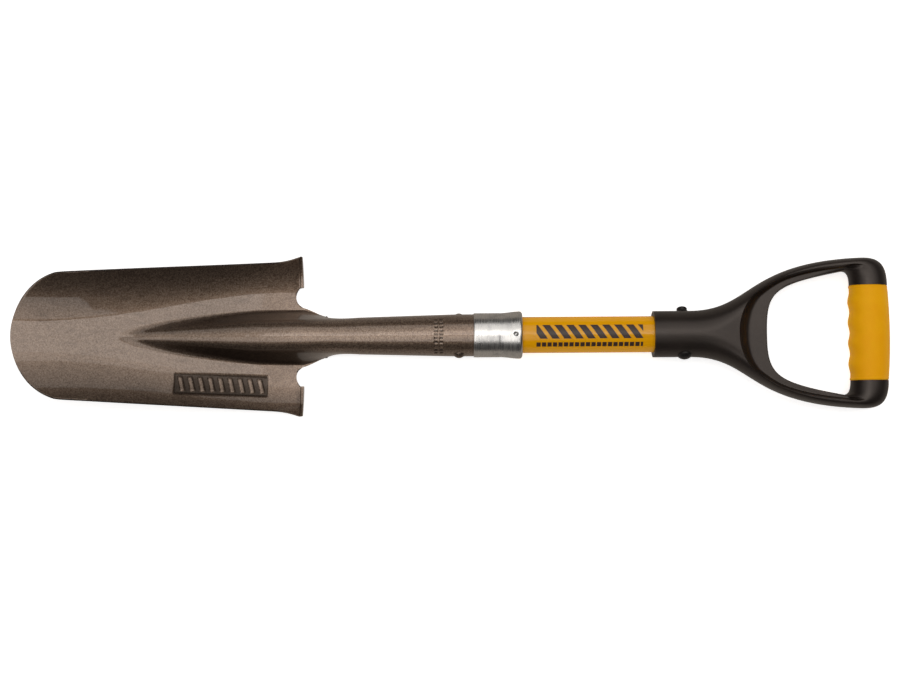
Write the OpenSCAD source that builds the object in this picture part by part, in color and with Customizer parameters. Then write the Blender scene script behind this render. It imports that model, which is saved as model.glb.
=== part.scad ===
// Detecting shovel: a narrow trenching blade with a rolled socket, a short fibreglass
// shaft and a D-handle with a soft grip.
// It lies on its back: +X runs along the shaft to the D-handle, +Z is up out of the
// blade's hollow side, and Z = 0 is the surface that it lies on.

/* [Overall] */
// Length from the blade's tip to the back of the grip
overall_length = 686; // [680:1:692]

/* [Blade and socket] */
// Sheet thickness of the pressed steel
sheet = 1.8; // [1.6:0.1:2.0]
// Radius of the rounded tip, seen from above
tip_radius = 51; // [49:0.5:53]
// Half width where the rounded tip meets the straight sides
tip_half_width = 48.5; // [47:0.5:48.5]
// Half width just in front of the foot steps, before the flare
heel_half_width = 60; // [58:0.5:61]
// How far each side flares out at the foot step
step_flare = 3; // [1:0.5:4]
// Angle by which the blade lifts away from the line of the shaft
blade_lift = 13; // [11:0.5:14]
// Height of the foot steps above the blade, on the sheet's middle
step_height = 10; // [8:0.5:12]
// Radius of the notches between the foot steps and the socket
notch_radius = 9.4; // [9:0.1:9.6]
// Outer radius of the socket at its narrow neck
neck_radius = 14.2; // [14:0.1:14.4]
// Outer radius of the socket at its mouth
socket_radius = 16.65; // [16.6:0.05:16.8]

/* [Shaft] */
// Outer diameter of the fibreglass tube
shaft_diameter = 28.6; // [28.4:0.1:28.8]
// Wall of the fibreglass tube
shaft_wall = 3.3; // [3:0.1:4]

/* [D-handle] */
// Outer radius of the handle's round socket
handle_radius = 18.3; // [18:0.1:18.5]
// Half width of the D across its arms
handle_half_width = 59.5; // [57:0.5:60]
// Half thickness of the arms
arm_half_thickness = 14.5; // [13:0.5:15]
// Length of the soft grip
grip_length = 75; // [74:1:78]
// Depth of the grip's finger grooves
groove_depth = 1.4; // [0.5:0.1:2]

/* [Hidden] */
$fn = 64;
eps = 0.5;

// Places along the shaft, X = 0 at half the overall length
tip_x = -overall_length / 2;
grip_back_x = overall_length / 2;
notch_x = -117.6;       // the notches' centres, which the blade's lift starts from
step_x = -121.3;        // middle plane of the foot steps
neck_closed_x = -76;    // where the rolled sheet has closed into a tube
socket_mouth_x = 50;
ferrule_front_x = 14.5;
ferrule_back_x = 52.8;
shaft_front_x = -20;
shaft_back_x = 205;
handle_mouth_x = 156.2;
socket_rivet_x = 3;
handle_rivet_x = 180.2;

// Heights: the shaft's axis lies as high as the ferrule's lip is wide
ferrule_lip_radius = 18.7;
axis_z = ferrule_lip_radius;
heel_floor = -axis_z + sheet / 2 - 1.2;

shaft_radius = shaft_diameter / 2;
core_radius = shaft_radius - shaft_wall - 0.1;
rivet_roll = 20;        // the rivets are turned this far about the shaft
socket_shank = 2.6;
handle_shank = 3;

// ---------- shared helpers ----------

function clamp01(t) = min(1, max(0, t));
function ease(t) = let (c = clamp01(t)) c * c * (3 - 2 * c);
function mix(a, b, t) = a * (1 - t) + b * t;
function bezier(p, t) =
    pow(1 - t, 3) * p[0] + 3 * pow(1 - t, 2) * t * p[1]
    + 3 * (1 - t) * t * t * p[2] + pow(t, 3) * p[3];

// A solid of revolution about the shaft's axis from [x, radius] points
module turned(profile) {
    translate([0, 0, axis_z])
        rotate([0, 90, 0])
            rotate_extrude($fn = 96)
                polygon([for (p = profile) [p[1], p[0]]]);
}

// A rod along the shaft's axis
module axis_rod(r, x0, x1) {
    translate([x0, 0, axis_z])
        rotate([0, 90, 0])
            cylinder(r = r, h = x1 - x0, $fn = 96);
}

// Children stand on the rivet's own axis, +Z out of its clinched tail
module on_rivet(x) {
    translate([x, 0, axis_z])
        rotate([-90 - rivet_roll, 0, 0])
            children();
}

// ---------- head: one pressed sheet from tip to socket ----------
// The sheet is a grid of rows (along X) and column lines (across). Rows up to
// row_heel cover the blade. Past it the inner columns run on as the neck and the
// socket, and the outer columns turn up as the foot steps; the columns between
// them end at the notches.

inner_cols = 10;        // per side: the ridge, then the tube
mid_cols = 5;           // per side: the notch
outer_cols = 4;         // per side: the foot step
half_cols = inner_cols + mid_cols + outer_cols;
tip_rows = 7;
side_rows = 10;
flare_rows = 4;
row_heel = tip_rows + side_rows + flare_rows - 1;
neck_stations = [-117, -113, -108.5, -104, -99, -94, -88, -82, neck_closed_x, -60, -35, -10, 15, 36,
    socket_mouth_x];
bend_radius = 2.6;      // of the foot steps, on the sheet's middle
step_stations = [0, 30, 60, 90];
flange_rows = len(step_stations) + 1;
seam_gap = 2;           // degrees either side of the socket's open seam

tip_angle = asin(tip_half_width / tip_radius);
tip_end_x = tip_x + tip_radius * (1 - cos(tip_angle));
flare_x = -143;
step_half_width = heel_half_width + step_flare;
step_base_x = step_x - bend_radius;
notch_y = 32.4;
notch_start = 23;       // degrees round the notch where the neck's side leaves it
notch_end = 180 - asin((notch_x - step_base_x) / notch_radius);
neck_x = notch_x - notch_radius * sin(notch_start);

// The higher of two heights, with a fillet where they cross
function rounded_max(a, b, fillet) =
    let (h = max(0, fillet - abs(a - b)) / fillet)
    max(a, b) + h * h * fillet / 4;

// Half width of the blade at x: the tip's circle, rounded into the straight sides
tip_corner = 1.6;
function half_width(x) =
    let (
        past_middle = x - tip_x - tip_radius,
        circle = sqrt(max(0, pow(tip_radius, 2) - pow(min(0, past_middle), 2)))
            + max(0, past_middle),
        side = mix(tip_half_width, heel_half_width,
            clamp01((x - tip_end_x) / (step_x - tip_end_x)))
    )
    -rounded_max(-circle, -side, tip_corner)
        + step_flare * pow(clamp01((x - flare_x) / (step_base_x - flare_x)), 2);

// Distance from the middle of each column line, as a share of the half width
function column_share(k) =
    let (
        inner_share = (notch_y - notch_radius * cos(notch_start)) / step_half_width,
        notch_turn = mix(notch_start, notch_end, (k - inner_cols) / mid_cols),
        outer_share = (notch_y - notch_radius * cos(notch_end)) / step_half_width
    )
    k <= inner_cols ? inner_share * k / inner_cols
    : k <= inner_cols + mid_cols
        ? (notch_y - notch_radius * cos(notch_turn)) / step_half_width
        : mix(outer_share, 1, (k - inner_cols - mid_cols) / outer_cols);

// Where a column line's last blade row lies
function column_end(k) =
    k <= inner_cols ? neck_x
    : k <= inner_cols + mid_cols
        ? notch_x - notch_radius * sin(mix(notch_start, notch_end, (k - inner_cols) / mid_cols))
        : step_base_x;

// The bowl's flat floor is narrow at the tip and wide beside the ridge, and its
// sides curl up faster towards the foot steps
floor_tip_y = 10;
floor_heel_y = 35;
curl_tip = 0.009;
curl_heel = 0.0145;

function floor_share(x) = ease((x + 320) / 190);

// The bowl: the sides curl up from the floor, and it all lifts towards the tip
function bowl(x, y) =
    let (
        beyond = max(0, abs(y) - mix(floor_tip_y, floor_heel_y, floor_share(x))),
        curl = mix(curl_tip, curl_heel, floor_share(x))
    )
    heel_floor + max(0, notch_x - x) * tan(blade_lift)
    + 0.0005 * y * y + curl * beyond * beyond;

// The ridge that runs on from the socket: a round crest and straight flanks. Its
// crest is sharper and its flanks less steep towards the front end
ridge_front_x = -251;
crest_front_z = 13;
crest_front_radius = 5.5;
flank_front = 26;
flank_heel = 71;
fillet_front = 2.5;
fillet_heel = 6;

// How far x is along the ridge, from 0 at its front to 1 at the foot steps
function ridge_share(x) = clamp01((x - ridge_front_x) / (step_x - ridge_front_x));

function ridge(x, y) =
    let (
        u = ridge_share(x),
        crest_z = mix(crest_front_z, neck_radius - sheet / 2, u),
        crest_r = mix(crest_front_radius, neck_radius - sheet / 2, clamp01(1.4 * u)),
        flank = mix(flank_front, flank_heel, pow(u, 0.55)),
        side = max(0, abs(y) - crest_r * sin(flank)),
        cap_y = min(abs(y), crest_r * sin(flank))
    )
    crest_z - crest_r + sqrt(crest_r * crest_r - cap_y * cap_y) - side * tan(flank);

function blade_z(x, y) =
    rounded_max(bowl(x, y), ridge(x, y), mix(fillet_front, fillet_heel, ridge_share(x)));

function blade_row_x(i, k) =
    i < tip_rows
    ? tip_x + tip_radius * (1 - cos(mix(5, tip_angle, i / (tip_rows - 1))))
    : i < tip_rows + side_rows
        ? mix(tip_end_x, flare_x, (i - tip_rows + 1) / side_rows)
        : mix(flare_x, column_end(k), (i - tip_rows - side_rows + 1) / flare_rows);

function blade_point(i, j) =
    let (
        k = abs(j),
        x = blade_row_x(i, k),
        y = sign(j) * column_share(k) * half_width(min(x, step_base_x))
    )
    [x, y, blade_z(x, y)];

// Middle radius of the rolled socket
function socket_mid_radius(x) =
    mix(neck_radius, socket_radius, clamp01((x + 90) / 90)) - sheet / 2
    + 0.5 * clamp01((x - 36) / (socket_mouth_x - 36));

// The neck rolls from the ridge's section into the round socket
function neck_point(i, j) =
    let (
        x = neck_stations[i],
        y = sign(j) * column_share(abs(j)) * step_half_width,
        turn = (180 - seam_gap) * j / inner_cols,
        r = socket_mid_radius(x),
        roll = pow(clamp01((x - neck_x) / (neck_closed_x - neck_x)), 1.15)
    )
    [x, mix(y, r * sin(turn), roll), mix(blade_z(neck_x, y), r * cos(turn), roll)];

// The foot steps turn up through a quarter bend to a flat tread
function step_point(i, j) =
    let (
        base = blade_point(row_heel, j),
        a = i < len(step_stations) ? step_stations[i] : 90,
        rise = i < len(step_stations) ? bend_radius * (1 - cos(a)) : step_height
    )
    [step_base_x + bend_radius * sin(a), base[1], base[2] + rise + (i == 3 ? 0.4 : 0)];

function sheet_point(i, j) =
    i <= row_heel ? blade_point(i, j)
    : abs(j) <= inner_cols ? neck_point(i - row_heel - 1, j)
    : step_point(min(i - row_heel, flange_rows - 1), j);

last_row = row_heel + len(neck_stations);

function on_sheet(i, j) =
    i >= 0 && abs(j) <= half_cols
    && (i <= row_heel
        || (abs(j) <= inner_cols && i <= last_row)
        || (abs(j) >= inner_cols + mid_cols && i < row_heel + flange_rows));

function normal_at(i, j) =
    let (
        along = sheet_point(on_sheet(i + 1, j) ? i + 1 : i, j)
            - sheet_point(on_sheet(i - 1, j) ? i - 1 : i, j),
        across = sheet_point(i, on_sheet(i, j + 1) ? j + 1 : j)
            - sheet_point(i, on_sheet(i, j - 1) ? j - 1 : j),
        n = cross(along, across)
    )
    n / norm(n);

// A cell is there when all its corners are on the sheet and in one region
function cell_kept(i, j) =
    on_sheet(i, j) && on_sheet(i + 1, j) && on_sheet(i, j + 1) && on_sheet(i + 1, j + 1)
    && (i < row_heel
        || max(abs(j), abs(j + 1)) <= inner_cols
        || min(abs(j), abs(j + 1)) >= inner_cols + mid_cols);

function sheet_index(i, j, side) =
    ((i * (2 * half_cols + 1)) + j + half_cols) * 2 + side;

module pressed_sheet() {
    points = [
        for (i = [0:last_row], j = [-half_cols:half_cols], side = [0, 1])
            on_sheet(i, j)
            ? sheet_point(i, j) + normal_at(i, j) * sheet * (0.5 - side)
            : [0, 0, 0]
    ];
    cells = [
        for (i = [0:last_row - 1], j = [-half_cols:half_cols - 1])
            if (cell_kept(i, j)) [i, j]
    ];
    top = [
        for (c = cells)
            let (
                a = sheet_index(c[0], c[1], 0),
                b = sheet_index(c[0] + 1, c[1], 0),
                d = sheet_index(c[0] + 1, c[1] + 1, 0),
                e = sheet_index(c[0], c[1] + 1, 0)
            )
            each [[a, d, b], [a, e, d]]
    ];
    bottom = [
        for (c = cells)
            let (
                a = sheet_index(c[0], c[1], 1),
                b = sheet_index(c[0] + 1, c[1], 1),
                d = sheet_index(c[0] + 1, c[1] + 1, 1),
                e = sheet_index(c[0], c[1] + 1, 1)
            )
            each [[a, b, d], [a, d, e]]
    ];
    rim = [
        for (c = cells)
            let (i = c[0], j = c[1])
            each concat(
                cell_kept(i - 1, j) ? [] : wall(i, j, i, j + 1),
                cell_kept(i + 1, j) ? [] : wall(i + 1, j + 1, i + 1, j),
                cell_kept(i, j - 1) ? [] : wall(i + 1, j, i, j),
                cell_kept(i, j + 1) ? [] : wall(i, j + 1, i + 1, j + 1)
            )
    ];
    polyhedron(points = points, faces = concat(top, bottom, rim), convexity = 8);
}

// Two triangles that close the sheet's edge between two grid points
function wall(i0, j0, i1, j1) =
    let (
        a = sheet_index(i0, j0, 0),
        b = sheet_index(i1, j1, 0),
        c = sheet_index(i1, j1, 1),
        d = sheet_index(i0, j0, 1)
    )
    [[a, c, b], [a, d, c]];

module head() {
    color([0.45, 0.39, 0.34])
        difference() {
            translate([0, 0, axis_z])
                pressed_sheet();
            on_rivet(socket_rivet_x)
                cylinder(r = socket_shank + 0.1, h = 60, center = true);
        }
}

// ---------- ferrule: thin sleeve over the socket's mouth ----------

module ferrule() {
    wall_t = 0.75;
    lip_r = 2.2;
    flare_start = 35.8;
    lip_x = ferrule_back_x - lip_r;
    outer = concat(
        [[ferrule_front_x, socket_radius + 0.05 + wall_t]],
        [for (a = [0:0.125:1])
            [mix(flare_start, lip_x, a), mix(socket_radius + 0.05 + wall_t, ferrule_lip_radius, ease(a))]],
        [for (a = [15:15:90])
            [lip_x + lip_r * sin(a), ferrule_lip_radius - lip_r * (1 - cos(a))]]
    );
    inner = concat(
        [[ferrule_back_x, shaft_radius + 0.1], [ferrule_back_x - wall_t, shaft_radius + 0.1]],
        [for (a = [1:-0.125:0])
            [mix(flare_start, lip_x, a), mix(socket_radius + 0.05, ferrule_lip_radius - wall_t, ease(a))]],
        [[ferrule_front_x, socket_radius + 0.05]]
    );
    color([0.75, 0.76, 0.77])
        turned(concat(outer, inner));
}

// ---------- shaft and the cores pressed into its ends ----------

module shaft() {
    color([0.9, 0.62, 0.08])
        difference() {
            axis_rod(shaft_radius, shaft_front_x, shaft_back_x);
            axis_rod(shaft_radius - shaft_wall, shaft_front_x - eps, shaft_back_x + eps);
            on_rivet(socket_rivet_x)
                cylinder(r = socket_shank + 0.1, h = 60, center = true);
            on_rivet(handle_rivet_x)
                cylinder(r = handle_shank + 0.1, h = 60, center = true);
        }
}

// Front core: a dowel inside the tube with a tapered nose down the socket
module socket_core() {
    nose_x = -72;
    color([0.72, 0.55, 0.36])
        difference() {
            turned([
                [nose_x, 0], [nose_x, 11.4], [nose_x + 1.2, 12.4],
                [shaft_front_x - 0.1, shaft_radius - 0.5], [shaft_front_x - 0.1, core_radius],
                [63, core_radius], [64, core_radius - 1], [64, 0]
            ]);
            on_rivet(socket_rivet_x)
                cylinder(r = socket_shank + 0.1, h = 60, center = true);
        }
}

// Rear core: a plain dowel at the handle's rivet
module handle_core() {
    color([0.72, 0.55, 0.36])
        difference() {
            turned([
                [146, 0], [146, core_radius - 1], [147, core_radius],
                [shaft_back_x - 1.5, core_radius], [shaft_back_x - 0.5, core_radius - 1],
                [shaft_back_x - 0.5, 0]
            ]);
            on_rivet(handle_rivet_x)
                cylinder(r = handle_shank + 0.1, h = 60, center = true);
        }
}

// ---------- rivets ----------

// A rivet through a round socket: a low dome, a shank and a clinched tail
module rivet(x, seat_r, shank_r, dome_r, dome_h, tail_r, tail_h, tail_seat) {
    dome_sphere = (dome_r * dome_r + dome_h * dome_h) / (2 * dome_h);
    difference() {
        on_rivet(x) {
            cylinder(r = shank_r, h = 2 * seat_r - 1, center = true);
            translate([0, 0, -seat_r - dome_h])
                intersection() {
                    translate([0, 0, dome_sphere])
                        sphere(r = dome_sphere, $fn = 64);
                    cylinder(r = dome_r, h = dome_h + 1.2);
                }
            translate([0, 0, seat_r - 1.2])
                cylinder(r = tail_r, h = tail_seat + tail_h + 1.2 - 0.6);
            translate([0, 0, seat_r + tail_seat + tail_h - 0.6])
                cylinder(r1 = tail_r, r2 = tail_r - 0.6, h = 0.6);
        }
        // Under the heads the rivet is cut to sit on the round socket
        difference() {
            axis_rod(seat_r + 0.05, x - 10, x + 10);
            on_rivet(x)
                cylinder(r = shank_r, h = 60, center = true);
        }
    }
}

module socket_rivet() {
    color([0.42, 0.36, 0.32])
        rivet(socket_rivet_x, socket_radius, socket_shank, 4.4, 2.3, 3, 1.3, 0);
}

washer_t = 1.2;

module handle_rivet() {
    color([0.13, 0.12, 0.12])
        difference() {
            rivet(handle_rivet_x, handle_radius, handle_shank, 5.9, 2.9, 4.1, 3, washer_t);
            on_rivet(handle_rivet_x)
                washer_ring(handle_shank + 0.15);
        }
}

// The space that the washer fills between the handle's wall and the clinched tail
module washer_ring(bore_r) {
    translate([0, 0, handle_radius - 1.2])
        difference() {
            cylinder(r1 = 5.4, r2 = 4.6, h = washer_t + 1.2);
            translate([0, 0, -eps])
                cylinder(r = bore_r, h = washer_t + 3);
        }
}

module rivet_washer() {
    color([0.16, 0.15, 0.15])
        difference() {
            on_rivet(handle_rivet_x)
                washer_ring(handle_shank + 0.15);
            axis_rod(handle_radius + 0.05, handle_rivet_x - 10, handle_rivet_x + 10);
        }
}

// ---------- D-handle ----------
// The yoke is a chain of ring sections from one end of the grip, round through the
// web behind the socket, to the other. Each section reaches from the outer outline
// to the edge of the hand opening.

bar_x = 326.2;          // axis of the crossbar
bar_radius = 11.5;
opening_x = 246;        // front of the hand opening
opening_y = 48.5;
grip_front_x = 311.9;   // front of the grip, between its finger grooves
grip_bulge = 450;       // radius of the grip's rounded back, seen from above
grip_half = grip_length / 2;
arm_outer = [[185, handle_radius], [235, handle_radius], [229, handle_half_width - 3],
    [319, handle_half_width]];
arm_inner = [[opening_x, 0], [opening_x, 32], [250, 38], [305, opening_y]];
corner_outer = [[319, handle_half_width], [335, handle_half_width + 0.8], [341.2, 55],
    [grip_back(grip_half), grip_half]];
corner_inner = [[305, opening_y], [309.5, opening_y + 0.8], [312, 46], [grip_front_x, grip_half]];

arm_steps = 12;
corner_steps = 6;
web_steps = 3;
ring_last = web_steps + arm_steps + corner_steps;

// Outer and inner end of section s, for the side y > 0; s = 0 is the middle of the web
function ring_ends(s) =
    s <= web_steps
    ? [[200, 12 * s / web_steps], bezier(arm_inner, 0.18 * s / web_steps)]
    : s <= web_steps + arm_steps
        ? let (a = (s - web_steps) / arm_steps)
            [bezier(arm_outer, mix(0.2, 1, a)), bezier(arm_inner, mix(0.18, 1, a))]
        : let (a = (s - web_steps - arm_steps) / corner_steps)
            [bezier(corner_outer, a), bezier(corner_inner, a)];

// Half section as [share of the width, share of the half thickness]
web_section = [[0, 1], [0.15, 1], [0.3, 1], [0.48, 0.98], [0.75, 0.62], [1, 0.28]];
arm_section = [[0, 0.3], [0.08, 0.7], [0.22, 0.94], [0.42, 1], [0.66, 0.8], [1, 0.4]];
bar_section = [for (a = [12, 43, 74, 106, 137, 168]) [(1 - cos(a)) / 2, sin(a)]];

function ring_section(s, m) =
    s <= web_steps ? mix(web_section[m], arm_section[m], 0.15 * s / web_steps)
    : s <= web_steps + 3 ? mix(web_section[m], arm_section[m], 0.15 + 0.85 * (s - web_steps) / 3)
    : s <= web_steps + arm_steps ? arm_section[m]
    : mix(arm_section[m], bar_section[m], ease((s - web_steps - arm_steps) / corner_steps));

function ring_points(s, side) =
    let (
        ends = ring_ends(s),
        thick = mix(arm_half_thickness + 1, arm_half_thickness, clamp01(s / web_steps)),
        half = [
            for (m = [0:5])
                let (
                    w = ring_section(s, m),
                    p = mix(ends[0], ends[1], w[0])
                )
                [p[0], side * p[1], thick * w[1]]
        ]
    )
    concat(half, [for (m = [5:-1:0]) [half[m][0], half[m][1], -half[m][2]]]);

module yoke() {
    sides = 12;
    rings = concat(
        [for (s = [ring_last:-1:1]) ring_points(s, -1)],
        [for (s = [0:ring_last]) ring_points(s, 1)]
    );
    count = len(rings);
    polyhedron(
        points = [for (r = rings) each r],
        faces = concat(
            [[for (m = [0:sides - 1]) m]],
            [[for (m = [sides - 1:-1:0]) (count - 1) * sides + m]],
            [for (r = [0:count - 2], m = [0:sides - 1])
                let (
                    a = r * sides + m,
                    b = r * sides + (m + 1) % sides
                )
                each [[a, a + sides, b + sides], [a, b + sides, b]]]
        ),
        convexity = 6
    );
}

module d_handle() {
    color([0.16, 0.14, 0.13])
        difference() {
            union() {
                turned([
                    [handle_mouth_x, 0], [handle_mouth_x, handle_radius - 0.8],
                    [handle_mouth_x + 0.8, handle_radius], [207, handle_radius],
                    [214, handle_radius - 1.2], [220, 12], [222, 0]
                ]);
                translate([0, 0, axis_z])
                    yoke();
                translate([bar_x, -grip_half - 1, axis_z])
                    rotate([-90, 0, 0])
                        cylinder(r = bar_radius, h = grip_length + 2);
            }
            axis_rod(shaft_radius + 0.05, handle_mouth_x - eps, shaft_back_x + 0.5);
            on_rivet(handle_rivet_x)
                cylinder(r = handle_shank + 0.1, h = 60, center = true);
        }
}

// ---------- grip: soft sleeve moulded over the crossbar ----------

grip_pitch = 16.4;      // from one finger groove to the next

function grip_front(y) =
    grip_front_x - groove_depth * (0.5 - 0.5 * cos(360 * y / grip_pitch));
function grip_back(y) = grip_back_x - y * y / (2 * grip_bulge);

module grip() {
    rows = 26;
    sides = 24;
    color([0.91, 0.6, 0.1])
        difference() {
            translate([0, 0, axis_z])
                polyhedron(
                    points = [
                        for (r = [0:rows], m = [0:sides - 1])
                            let (
                                y = mix(-grip_half, grip_half, r / rows),
                                a = 360 * m / sides,
                                mid = (grip_front(y) + grip_back(y)) / 2,
                                half = (grip_back(y) - grip_front(y)) / 2
                            )
                            [mid + half * cos(a), y, arm_half_thickness * sin(a)]
                    ],
                    faces = concat(
                        [[for (m = [sides - 1:-1:0]) m]],
                        [[for (m = [0:sides - 1]) rows * sides + m]],
                        [for (r = [0:rows - 1], m = [0:sides - 1])
                            let (
                                a = r * sides + m,
                                b = r * sides + (m + 1) % sides
                            )
                            each [[a, b + sides, a + sides], [a, b, b + sides]]]
                    ),
                    convexity = 4
                );
            translate([bar_x, -grip_half - 2, axis_z])
                rotate([-90, 0, 0])
                    cylinder(r = bar_radius, h = grip_length + 4);
        }
}

head();
ferrule();
shaft();
socket_core();
handle_core();
socket_rivet();
handle_rivet();
rivet_washer();
d_handle();
grip();
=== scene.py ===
"""Looks of the detecting shovel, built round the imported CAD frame.

Shapes are worked out in millimetres from the shaft's axis (x along it, y across,
z up) and turned into metres in the row's frame when their meshes are made.
"""
import math

import bmesh
import bpy
import numpy as np
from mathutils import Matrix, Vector


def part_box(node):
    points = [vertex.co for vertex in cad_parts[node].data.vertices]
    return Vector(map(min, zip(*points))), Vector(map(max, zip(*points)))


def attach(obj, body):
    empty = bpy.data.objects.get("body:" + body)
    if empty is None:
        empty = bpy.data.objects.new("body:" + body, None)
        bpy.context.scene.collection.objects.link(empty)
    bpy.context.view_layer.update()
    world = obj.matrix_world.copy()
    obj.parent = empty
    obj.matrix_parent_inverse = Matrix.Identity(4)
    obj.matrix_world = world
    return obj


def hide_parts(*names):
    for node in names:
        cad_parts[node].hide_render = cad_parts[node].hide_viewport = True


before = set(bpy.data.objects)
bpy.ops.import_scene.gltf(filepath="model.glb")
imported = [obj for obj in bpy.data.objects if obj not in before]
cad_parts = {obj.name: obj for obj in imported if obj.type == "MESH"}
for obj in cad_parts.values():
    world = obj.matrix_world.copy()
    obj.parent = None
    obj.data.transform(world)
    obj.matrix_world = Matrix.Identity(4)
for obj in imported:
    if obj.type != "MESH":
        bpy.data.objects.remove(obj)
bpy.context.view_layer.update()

MM = 0.001
ROOT = "root"
SMOOTH_ANGLE = 35       # degrees; sharper edges stay hard
MERGE_M = 2e-6          # points closer than this become one


def cad_mm(node):
    """A CAD node's lowest and highest corner in millimetres from the shaft's axis."""
    low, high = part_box(node)
    lift = Vector((0, 0, AXIS_Z))
    return (low - lift) / MM, (high - lift) / MM


AXIS_Z = sum(corner.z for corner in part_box("shaft")) / 2
HEAD_LOW, HEAD_HIGH = cad_mm("head")
FERRULE_LOW, FERRULE_HIGH = cad_mm("ferrule")
SHAFT_LOW, SHAFT_HIGH = cad_mm("shaft")
HANDLE_LOW, HANDLE_HIGH = cad_mm("d_handle")
GRIP_HIGH = cad_mm("grip")[1]
SHAFT_R = SHAFT_HIGH.y
FERRULE_LIP_R = FERRULE_HIGH.y


# ---------- small numeric helpers ----------

def clamp01(t):
    return np.clip(t, 0.0, 1.0)


def ease(t):
    t = clamp01(t)
    return t * t * (3 - 2 * t)


def mix(a, b, t):
    return a * (1 - t) + b * t


def bezier(points, t):
    """Points of a cubic Bezier curve; t is an array."""
    t = np.asarray(t, float)[..., None]
    p0, p1, p2, p3 = (np.array(p, float) for p in points)
    return (1 - t) ** 3 * p0 + 3 * (1 - t) ** 2 * t * p1 + 3 * (1 - t) * t * t * p2 + t**3 * p3


def stretch(*spans):
    """One rising array from (start, end, step) spans that follow each other."""
    parts = []
    for start, end, step in spans:
        count = max(1, round(abs(end - start) / step))
        parts.append(np.linspace(start, end, count, endpoint=False))
    parts.append(np.array([spans[-1][1]], float))
    return np.concatenate(parts)


# ---------- meshes ----------

def make_object(name, points_mm, faces, material, smooth_angle=SMOOTH_ANGLE, marks=None):
    """A mesh object from millimetre points round the shaft's axis.

    marks, if given, is how much painted shade each point gets, for the paint to read."""
    mesh = bpy.data.meshes.new(name)
    points = np.asarray(points_mm, float) * MM + np.array([0, 0, AXIS_Z])
    mesh.from_pydata(points.tolist(), [], faces)
    mesh.validate()
    if marks is not None:
        mesh.attributes.new("pressed", "FLOAT", "POINT").data.foreach_set("value", marks)
    obj = bpy.data.objects.new(name, mesh)
    bpy.context.scene.collection.objects.link(obj)
    obj.data.materials.append(material)
    tidy_normals(obj, smooth_angle)
    return obj


def tidy_normals(obj, smooth_angle):
    """Merges double points, turns faces outwards and shades them smooth up to an angle."""
    bm = bmesh.new()
    bm.from_mesh(obj.data)
    bmesh.ops.remove_doubles(bm, verts=bm.verts, dist=MERGE_M)
    bmesh.ops.dissolve_degenerate(bm, edges=bm.edges, dist=1e-7)
    bmesh.ops.recalc_face_normals(bm, faces=bm.faces)
    limit = math.radians(smooth_angle)
    for face in bm.faces:
        face.smooth = True
    for edge in bm.edges:
        edge.smooth = len(edge.link_faces) != 2 or edge.calc_face_angle(0) < limit
    bm.to_mesh(obj.data)
    bm.free()


def apply_modifiers(obj, smooth_angle=SMOOTH_ANGLE):
    """Turns an object's modifiers into plain mesh."""
    graph = bpy.context.evaluated_depsgraph_get()
    mesh = bpy.data.meshes.new_from_object(obj.evaluated_get(graph))
    obj.modifiers.clear()
    obj.data = mesh
    tidy_normals(obj, smooth_angle)


def add_bevel(obj, width_mm, segments):
    """Rounds the edges that turn by more than 50 degrees."""
    bevel = obj.modifiers.new("edge", "BEVEL")
    bevel.width = width_mm * MM
    bevel.segments = segments
    bevel.limit_method = "ANGLE"
    bevel.angle_limit = math.radians(50)
    bevel.use_clamp_overlap = True


def cut_away(obj, cutter):
    """Subtracts a cutter from an object and deletes the cutter."""
    boolean = obj.modifiers.new("cut", "BOOLEAN")
    boolean.operation = "DIFFERENCE"
    boolean.solver = "EXACT"
    boolean.object = cutter
    apply_modifiers(obj)
    bpy.data.objects.remove(cutter)


def grid_faces(rows, cols, wrap=False, base=0):
    """Quads of a grid of points numbered row by row."""
    faces = []
    for i in range(rows - 1):
        for j in range(cols if wrap else cols - 1):
            k = (j + 1) % cols
            faces.append((base + i * cols + j, base + (i + 1) * cols + j,
                          base + (i + 1) * cols + k, base + i * cols + k))
    return faces


def ring_faces(rows, cols):
    """Quads of a tube of closed rings whose last ring joins its first."""
    faces = grid_faces(rows, cols, wrap=True)
    for j in range(cols):
        k = (j + 1) % cols
        faces.append(((rows - 1) * cols + j, j, k, (rows - 1) * cols + k))
    return faces


def lathe(name, profile, material, segments, shape=None):
    """A closed solid of revolution about the shaft from a loop of (x, radius) points.

    shape, if given, takes (x, radius, angle) arrays and returns changed radii."""
    profile = np.array(profile, float)
    angle = np.linspace(0, 2 * math.pi, segments, endpoint=False)
    x = np.repeat(profile[:, 0][:, None], segments, axis=1)
    radius = np.repeat(profile[:, 1][:, None], segments, axis=1)
    turn = np.repeat(angle[None, :], len(profile), axis=0)
    if shape:
        radius = shape(x, radius, turn)
    points = np.stack([x, radius * np.sin(turn), radius * np.cos(turn)], axis=-1)
    faces = ring_faces(len(profile), segments)
    return make_object(name, points.reshape(-1, 3), faces, material)


def place(obj, node):
    """The piece stands for a CAD node and rides on the one body."""
    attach(obj, ROOT)
    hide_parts(node)


# ---------- materials ----------

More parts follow.
